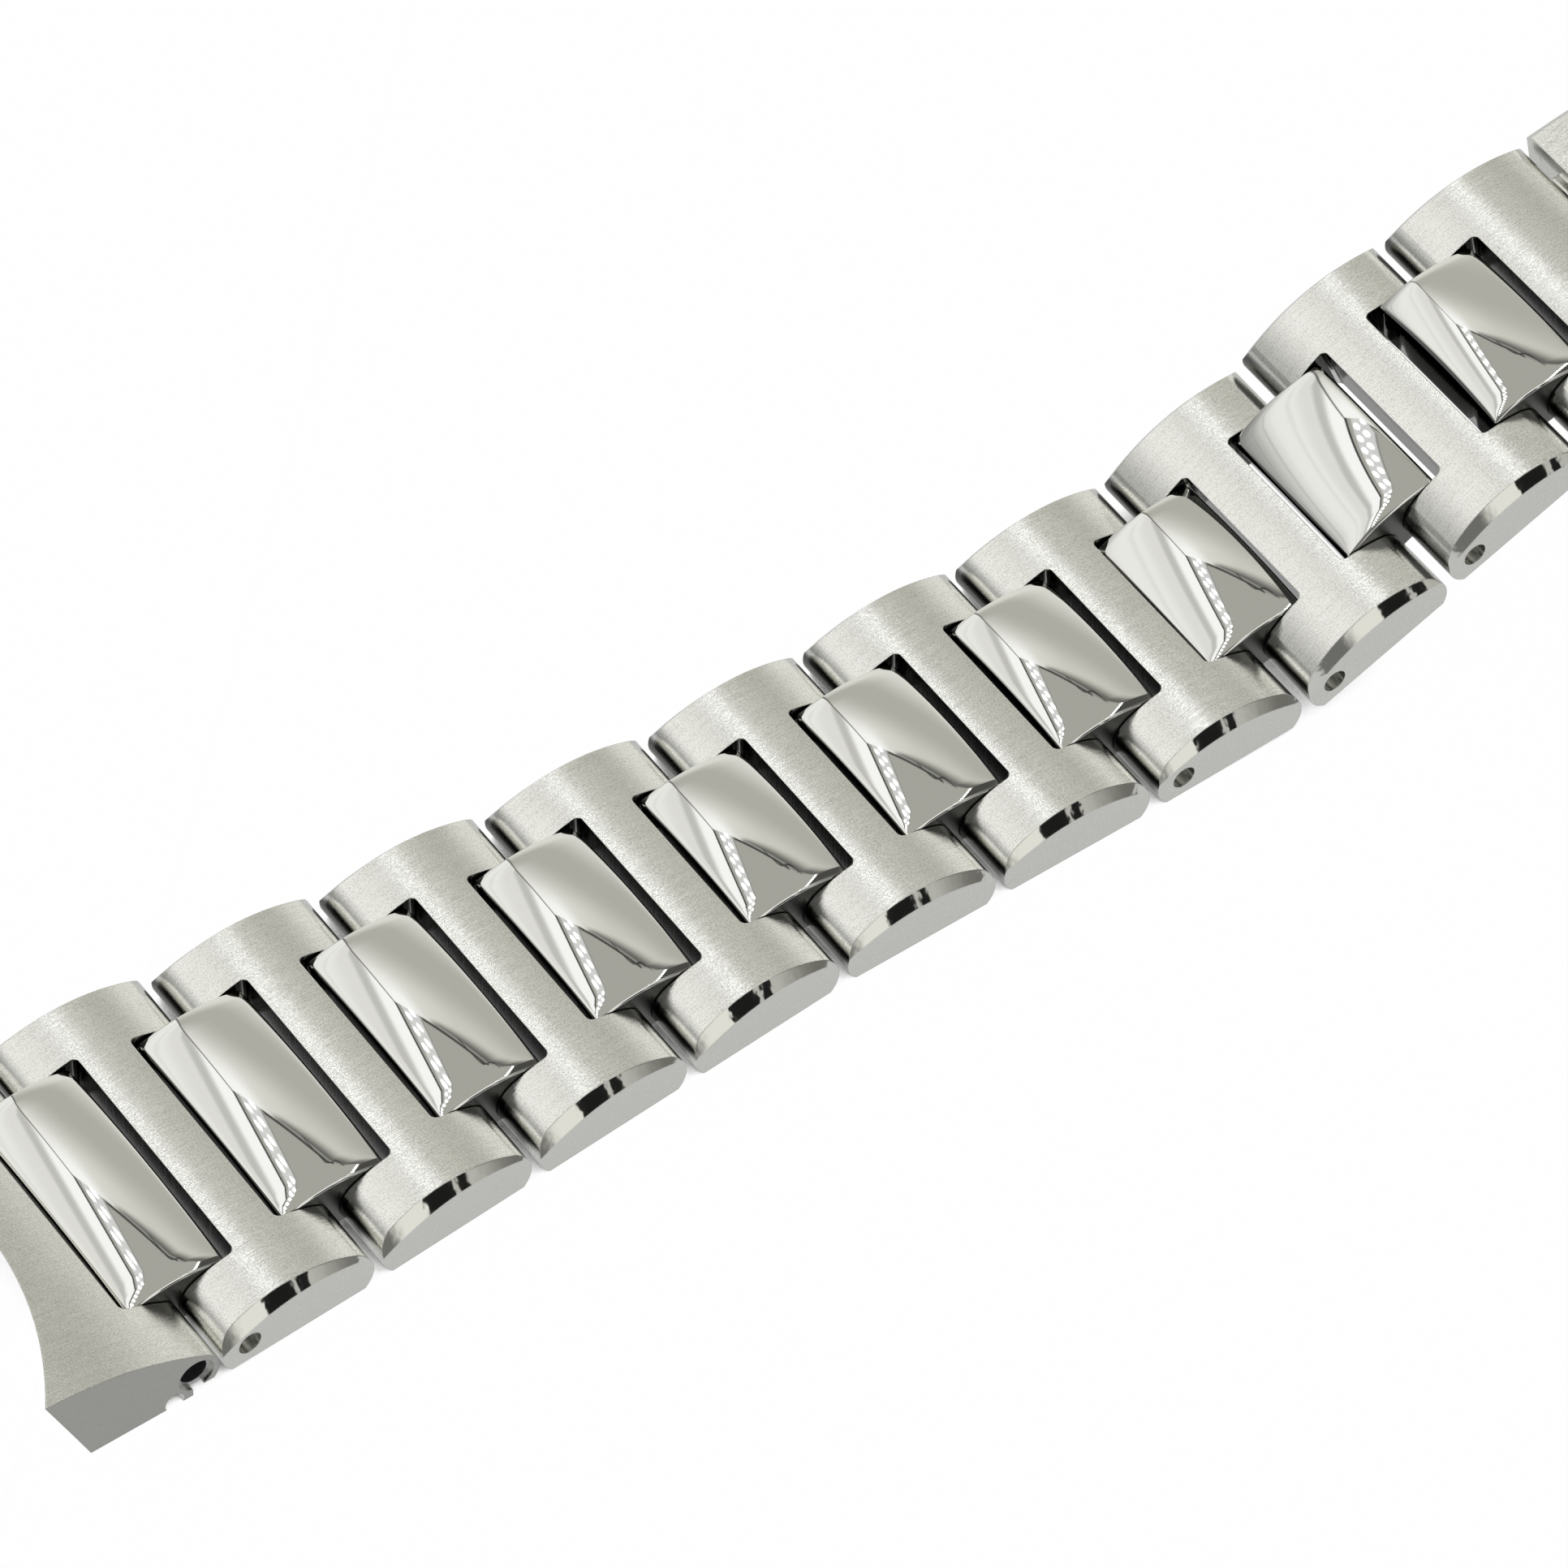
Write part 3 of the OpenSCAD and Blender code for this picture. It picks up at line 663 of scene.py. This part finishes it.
@dataclass
class Floor:
    """The white sheet that the bracelet lies on.

    The camera looks through it onto the white world, but for its deepest shade.
    """

    height: float = -1.3 * MM
    half: float = 3.0
    tone: float = 0.7

    # What it shows in the steel, near the bracelet and far from it
    in_steel: float = 0.58
    far_in_steel: float = 0.12
    fading: tuple[float, float] = (0.15, 0.3)
    glossy_share: float = 0.85

    # The share of open sky at which its shade begins and is full, within a reach
    shade_reach: float = 5 * MM
    shading: tuple[float, float] = (0.3, 0.12)
    clearness: float = 0.993

    def material(self) -> bpy.types.Material:
        """Makes the sheet's material.

        Returns:
            White paper, with its own glow in reflections, clear to the camera.
        """
        made = bpy.data.materials.new("floor")
        made.use_nodes = True
        bench = Bench(made.node_tree)
        camera, glossy, passing = (
            bench.node("ShaderNodeLightPath", None, None, f"Is {kind} Ray")
            for kind in ("Camera", "Glossy", "Transmission")
        )
        spot = bench.node("ShaderNodeNewGeometry", None, None, "Position")
        away = bench.node("ShaderNodeVectorMath", {"operation": "LENGTH"}, {0: spot}, "Value")
        fade = {0: away.ramp(*self.fading), 2: self.in_steel, 3: self.far_in_steel}
        lit = bench.node("ShaderNodeMix", {"data_type": "FLOAT"}, fade)
        paper = bench.node("ShaderNodeBsdfDiffuse", None, {"Color": grey(self.tone)})
        inputs = {"Color": grey(1.0), "Strength": passing + glossy * lit}
        white = bench.node("ShaderNodeEmission", None, inputs)
        glowing = passing + glossy * self.glossy_share
        sheet = bench.node("ShaderNodeMixShader", None, {0: glowing, 1: paper, 2: white})

        reach = {"Distance": self.shade_reach}
        sky = bench.node("ShaderNodeAmbientOcclusion", {"samples": 8}, reach, "AO")
        clear = camera * (1 - sky.ramp(*self.shading)) * self.clearness
        unseen = bench.node("ShaderNodeBsdfTransparent", None, {"Color": grey(1.0)})
        surface = bench.node("ShaderNodeMixShader", None, {0: clear, 1: sheet, 2: unseen})
        bench.node("ShaderNodeOutputMaterial", None, {"Surface": surface})
        return made

    def lay(self) -> bpy.types.Object:
        """Lays the sheet.

        Returns:
            The floor, which is stage and not part of the bracelet.
        """
        mesh = bpy.data.meshes.new("floor")
        corners = [(-1, -1), (1, -1), (1, 1), (-1, 1)]
        points = [(x * self.half, y * self.half, self.height) for x, y in corners]
        mesh.from_pydata(points, [], [(0, 1, 2, 3)])
        mesh.materials.append(self.material())
        sheet = bpy.data.objects.new("floor", mesh)
        bpy.context.scene.collection.objects.link(sheet)
        return sheet


@dataclass
class Viewpoint:
    """The photograph's camera, in millimetres of the bracelet's frame."""

    place: tuple[float, float, float] = (-109.971, -210.508, 324.186)
    right: tuple[float, float, float] = (0.81662, -0.57717, -0.00096)
    up: tuple[float, float, float] = (0.45051, 0.63637, 0.62616)
    back: tuple[float, float, float] = (-0.36079, -0.51177, 0.7797)
    lens: float = 207.77
    sensor: float = 36.0

    def camera(self) -> bpy.types.Object:
        """Places the scene's camera.

        Returns:
            The camera object.
        """
        data = bpy.data.cameras.new("camera")
        data.lens = self.lens
        data.sensor_width = self.sensor
        data.sensor_fit = "HORIZONTAL"
        data.clip_start = 0.01
        data.clip_end = 20.0
        made = bpy.data.objects.new("camera", data)
        turn = Matrix((self.right, self.up, self.back)).transposed().to_4x4()
        made.matrix_world = Matrix.Translation(Vector(self.place) * MM) @ turn
        bpy.context.scene.collection.objects.link(made)
        bpy.context.scene.camera = made
        return made


def arc(
    middle: tuple[float, float], radius: float, start: float, end: float, steps: int
) -> list[tuple[float, float]]:
    """Points along an arc.

    Args:
        middle: the arc's centre.
        radius: its radius.
        start: its first angle, in degrees.
        end: its last angle.
        steps: the number of spans.

    Returns:
        steps + 1 points.
    """
    turns = [math.radians(start + (end - start) * k / steps) for k in range(steps + 1)]
    return [(middle[0] + radius * math.cos(t), middle[1] + radius * math.sin(t)) for t in turns]


def solid(label: str, form: bmesh.types.BMesh) -> bpy.types.Object:
    """Makes an object of a form.

    Args:
        label: the name of the object and its mesh.
        form: the form, which is freed.

    Returns:
        The object, in the scene.
    """
    mesh = bpy.data.meshes.new(label)
    form.to_mesh(mesh)
    form.free()
    made = bpy.data.objects.new(label, mesh)
    bpy.context.scene.collection.objects.link(made)
    return made


def drill(body: bpy.types.Object, rods: bpy.types.Object) -> bpy.types.Mesh:
    """Cuts rods out of a body.

    Args:
        body: the body, which gets the cut mesh.
        rods: the rods, which are removed.

    Returns:
        The body's new mesh.
    """
    cut = body.modifiers.new("bores", "BOOLEAN")
    cut.operation = "DIFFERENCE"
    cut.solver = "EXACT"
    cut.object = rods
    bpy.context.view_layer.update()
    shown = body.evaluated_get(bpy.context.evaluated_depsgraph_get())
    mesh = bpy.data.meshes.new_from_object(shown)
    body.modifiers.clear()
    body.data = mesh
    bpy.data.objects.remove(rods)
    return mesh


@dataclass
class CentrePads:
    """The polished pads of one half, in millimetres, with rounded edges all round."""

    half: str
    count: int

    # The outline from the side: rounds about the pins, a crown and its corners
    end_r: float = 1.03
    first_r: float = 1.28
    crest: float = 2.35
    fall: float = 0.45
    corner_r: float = 0.3
    belly: float = 0.98
    bore_r: float = 0.64
    lug_bore_r: float = 0.94

    # The section across: a bow, which falls more near the rim, and rounded edges
    bow: float = 0.35
    edge_r: float = 0.12
    rim_width: float = 0.7
    rim_fall: float = 0.06

    # How finely the forms are divided
    crown_spans: int = 28
    corner_spans: int = 7
    end_spans: int = 8
    width_spans: int = 22
    edge_spans: int = 5
    bore_sides: int = 40
    sharp_angle: float = 40.0

    # The crowns that are tipped towards the clasp: degrees for a pad's number
    leans: Mapping[int, float] = field(default_factory=dict)
    lean_from: float = 1.5
    lean_floor: float = 1.0
    lean_taper: float = 0.5

    def outline(self, half_span: float, first: bool, inset: float) -> list[tuple[float, float]]:
        """The pad seen from its side, drawn in by an inset.

        Args:
            half_span: half the distance between its pins.
            first: whether its lug side turns round the lug tube.
            inset: how far the outline lies inside the pad's own.

        Returns:
            Points round the outline.
        """
        r1 = self.first_r if first else self.end_r
        r2 = self.end_r
        half = (2 * half_span + r1 + r2) / 2
        crown_r = (half * half + self.fall * self.fall) / (2 * self.fall)
        mid = half - half_span - r1
        low = self.crest - crown_r
        run = half - self.corner_r
        rise = math.sqrt((crown_r - self.corner_r) ** 2 - run * run)
        slope = math.degrees(math.atan2(rise, run))
        under1 = math.degrees(math.asin((self.belly - inset) / (r1 - inset)))
        under2 = math.degrees(math.asin((self.belly - inset) / (r2 - inset)))
        round_r = self.corner_r - inset
        corner_z = low + rise
        points = arc((mid, low), crown_r - inset, slope, 180 - slope, self.crown_spans)
        points += arc((mid - run, corner_z), round_r, 180 - slope, 180, self.corner_spans)[1:]
        points += arc((-half_span, 0.0), r1 - inset, 180, 180 + under1, self.end_spans)
        points += arc((half_span, 0.0), r2 - inset, 360 - under2, 360, self.end_spans)
        points += arc((mid + run, corner_z), round_r, 0, slope, self.corner_spans)[:-1]
        return points

    def section(self, y: float, width: float, ring: Sequence[tuple[float, float]]) -> list[Vector]:
        """Bows an outline down towards the pad's flat sides.

        Args:
            y: where the section lies across the pad.
            width: the pad's width.
            ring: the outline.

        Returns:
            The section's points.
        """
        deep = (width * width / 4 + self.bow * self.bow) / (2 * self.bow) - self.crest
        rim = max(0.0, (abs(y) - width / 2 + self.rim_width) / self.rim_width)
        fall = self.rim_fall * rim ** 3
        points = []
        for x, z in ring:
            bowed = math.sqrt((z + deep) ** 2 - y * y) - deep - fall if z > 0 else z
            points.append(Vector((x, y, bowed)))
        return points

    def body(self, half_span: float, width: float, first: bool) -> bmesh.types.BMesh:
        """Lofts one pad about the middle of its pins.

        Args:
            half_span: half the distance between its pins.
            width: the pad's width.
            first: whether it is the pad at the end link.

        Returns:
            The closed pad, without its bores.
        """
        flat = width / 2 - self.edge_r
        spans = self.width_spans
        stations = [(-flat + 2 * flat * k / spans, 0.0) for k in range(spans + 1)]
        for k in range(1, self.edge_spans + 1):
            turn = math.radians(90 * k / self.edge_spans)
            step = self.edge_r * math.sin(turn)
            inset = self.edge_r * (1 - math.cos(turn))
            stations.insert(0, (-flat - step, inset))
            stations.append((flat + step, inset))
        made = bmesh.new()
        rings = []
        for y, inset in stations:
            points = self.section(y, width, self.outline(half_span, first, inset))
            rings.append([made.verts.new(point) for point in points])
        for near, far in zip(rings, rings[1:]):
            for k in range(len(near)):
                nxt = (k + 1) % len(near)
                made.faces.new((near[k], near[nxt], far[nxt], far[k]))
        made.faces.new(rings[0][::-1])
        made.faces.new(rings[-1])
        bmesh.ops.recalc_face_normals(made, faces=made.faces)
        return made

    def bores(self, half_span: float, width: float, first: bool) -> bmesh.types.BMesh:
        """The two rods that the pin holes are cut with.

        Args:
            half_span: half the distance between the pins.
            width: the pad's width.
            first: whether the lug side's hole is the wide one for the lug tube.

        Returns:
            The rods, a little longer than the pad is wide.
        """
        made = bmesh.new()
        lug_r = self.lug_bore_r if first else self.bore_r
        for x, radius in ((-half_span, lug_r), (half_span, self.bore_r)):
            across = Matrix.Translation((x, 0, 0)) @ Matrix.Rotation(math.pi / 2, 4, "X")
            bmesh.ops.create_cone(
                made,
                cap_ends=True,
                segments=self.bore_sides,
                radius1=radius,
                radius2=radius,
                depth=width + 2,
                matrix=across,
            )
        return made

    def tip(self, mesh: bpy.types.Mesh, lean: float) -> None:
        """Tips a pad's crown towards the clasp.

        Args:
            mesh: the pad, with its bores already cut, which stay as they are.
            lean: the angle in degrees.
        """
        slope = math.tan(math.radians(lean)) / (self.crest - self.lean_floor)
        for vertex in mesh.vertices:
            x, y, z = vertex.co
            lift = max(z - self.lean_floor, 0.0) * slope
            drawn_in = x - min(x, 0.0) * self.lean_taper * lift
            vertex.co = (drawn_in, y, z + (self.lean_from - x) * lift)

    def build(self, number: int, finish: bpy.types.Material) -> bpy.types.Object:
        """Makes one pad in its place between its pins.

        Args:
            number: the pad's number from the lug end.
            finish: its material.

        Returns:
            The pad, which stands for its CAD node.
        """
        name = f"pad_{self.half}_{number:02d}"
        first = number == 1
        hinges = [joint for joint in frame["joints"] if joint["type"] == "hinge"]
        places = {hinge["name"]: Vector(hinge["pos_m"]) for hinge in hinges}
        lug_pin = places[name + ("_to_end" if first else "_to_link")]
        clasp_pin = places[f"link_{self.half}_{number:02d}_to_pad"]
        forward = (clasp_pin - lug_pin).normalized()
        upward = Vector((-forward.z, 0, forward.x)) * (1 if forward.x > 0 else -1)
        low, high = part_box(name)
        half_span = (clasp_pin - lug_pin).length / 2 / MM
        width = (high.y - low.y) / MM
        pad = solid(name + "_polished", self.body(half_span, width, first))
        rods = solid(name + "_bores", self.bores(half_span, width, first))
        whole = drill(pad, rods)
        self.tip(whole, self.leans.get(number, 0.0))
        turn = Matrix((forward, Vector((0, 1, 0)), upward)).transposed().to_4x4()
        place = Matrix.Translation((lug_pin + clasp_pin) / 2) @ turn @ Matrix.Scale(MM, 4)
        whole.transform(place)
        if forward.x < 0:
            whole.flip_normals()
        whole.shade_smooth()
        whole.set_sharp_from_angle(angle=math.radians(self.sharp_angle))
        whole.materials.clear()
        whole.materials.append(finish)
        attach(pad, name)
        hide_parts(name)
        log.info("%s built, %.2f mm wide", pad.name, width)
        return pad

    def build_all(self, finish: bpy.types.Material) -> None:
        """Makes every pad of the half."""
        for number in range(1, self.count + 1):
            self.build(number, finish)


@dataclass
class Dresser:
    """Gives the CAD nodes their finishes, by the start of their names."""

    finishes: Mapping[str, Finish]

    def dress(self) -> dict[str, bpy.types.Material]:
        """Makes each finish once and puts it on its nodes.

        Returns:
            The materials by the finish's name.
        """
        made: dict[str, bpy.types.Material] = {}
        for name, node in frame["nodes"].items():
            start = max((key for key in self.finishes if name.startswith(key)), key=len)
            finish = self.finishes[start]
            if finish.name not in made:
                made[finish.name] = finish.material()
            for place in node.material_slots:
                place.material = made[finish.name]
            log.info("%s dressed as %s, %s steel", name, finish.name, finish.slot.value)
        return made


def main() -> None:
    """Builds the studio and the pads, and dresses the bracelet."""
    logging.basicConfig(level=logging.INFO)
    bpy.context.scene.view_settings.view_transform = "Standard"
    Viewpoint().camera()
    LightBox().light()
    Floor().lay()
    finishes = {
        "": POLISHED_STEEL,
        "link_": LINK_STEEL,
        "pad_": PAD_STEEL,
        "pins_": PIN_STEEL,
        "end_link_": END_STEEL,
        "clasp_cover": COVER_STEEL,
        "clasp_cover_pins": PLAIN_STEEL,
        "button_": COVER_STEEL,
        "lug_tube_": PLAIN_STEEL,
        "fold_pin": PLAIN_STEEL,
    }
    materials = Dresser(finishes).dress()
    leans = {7: 1.5, 8: 1.5, 9: 8.0, 10: 8.5}
    CentrePads("a", 10, leans=leans).build_all(materials["pad"])
    CentrePads("b", 5).build_all(materials["pad"])


if __name__ == "__main__":
    main()
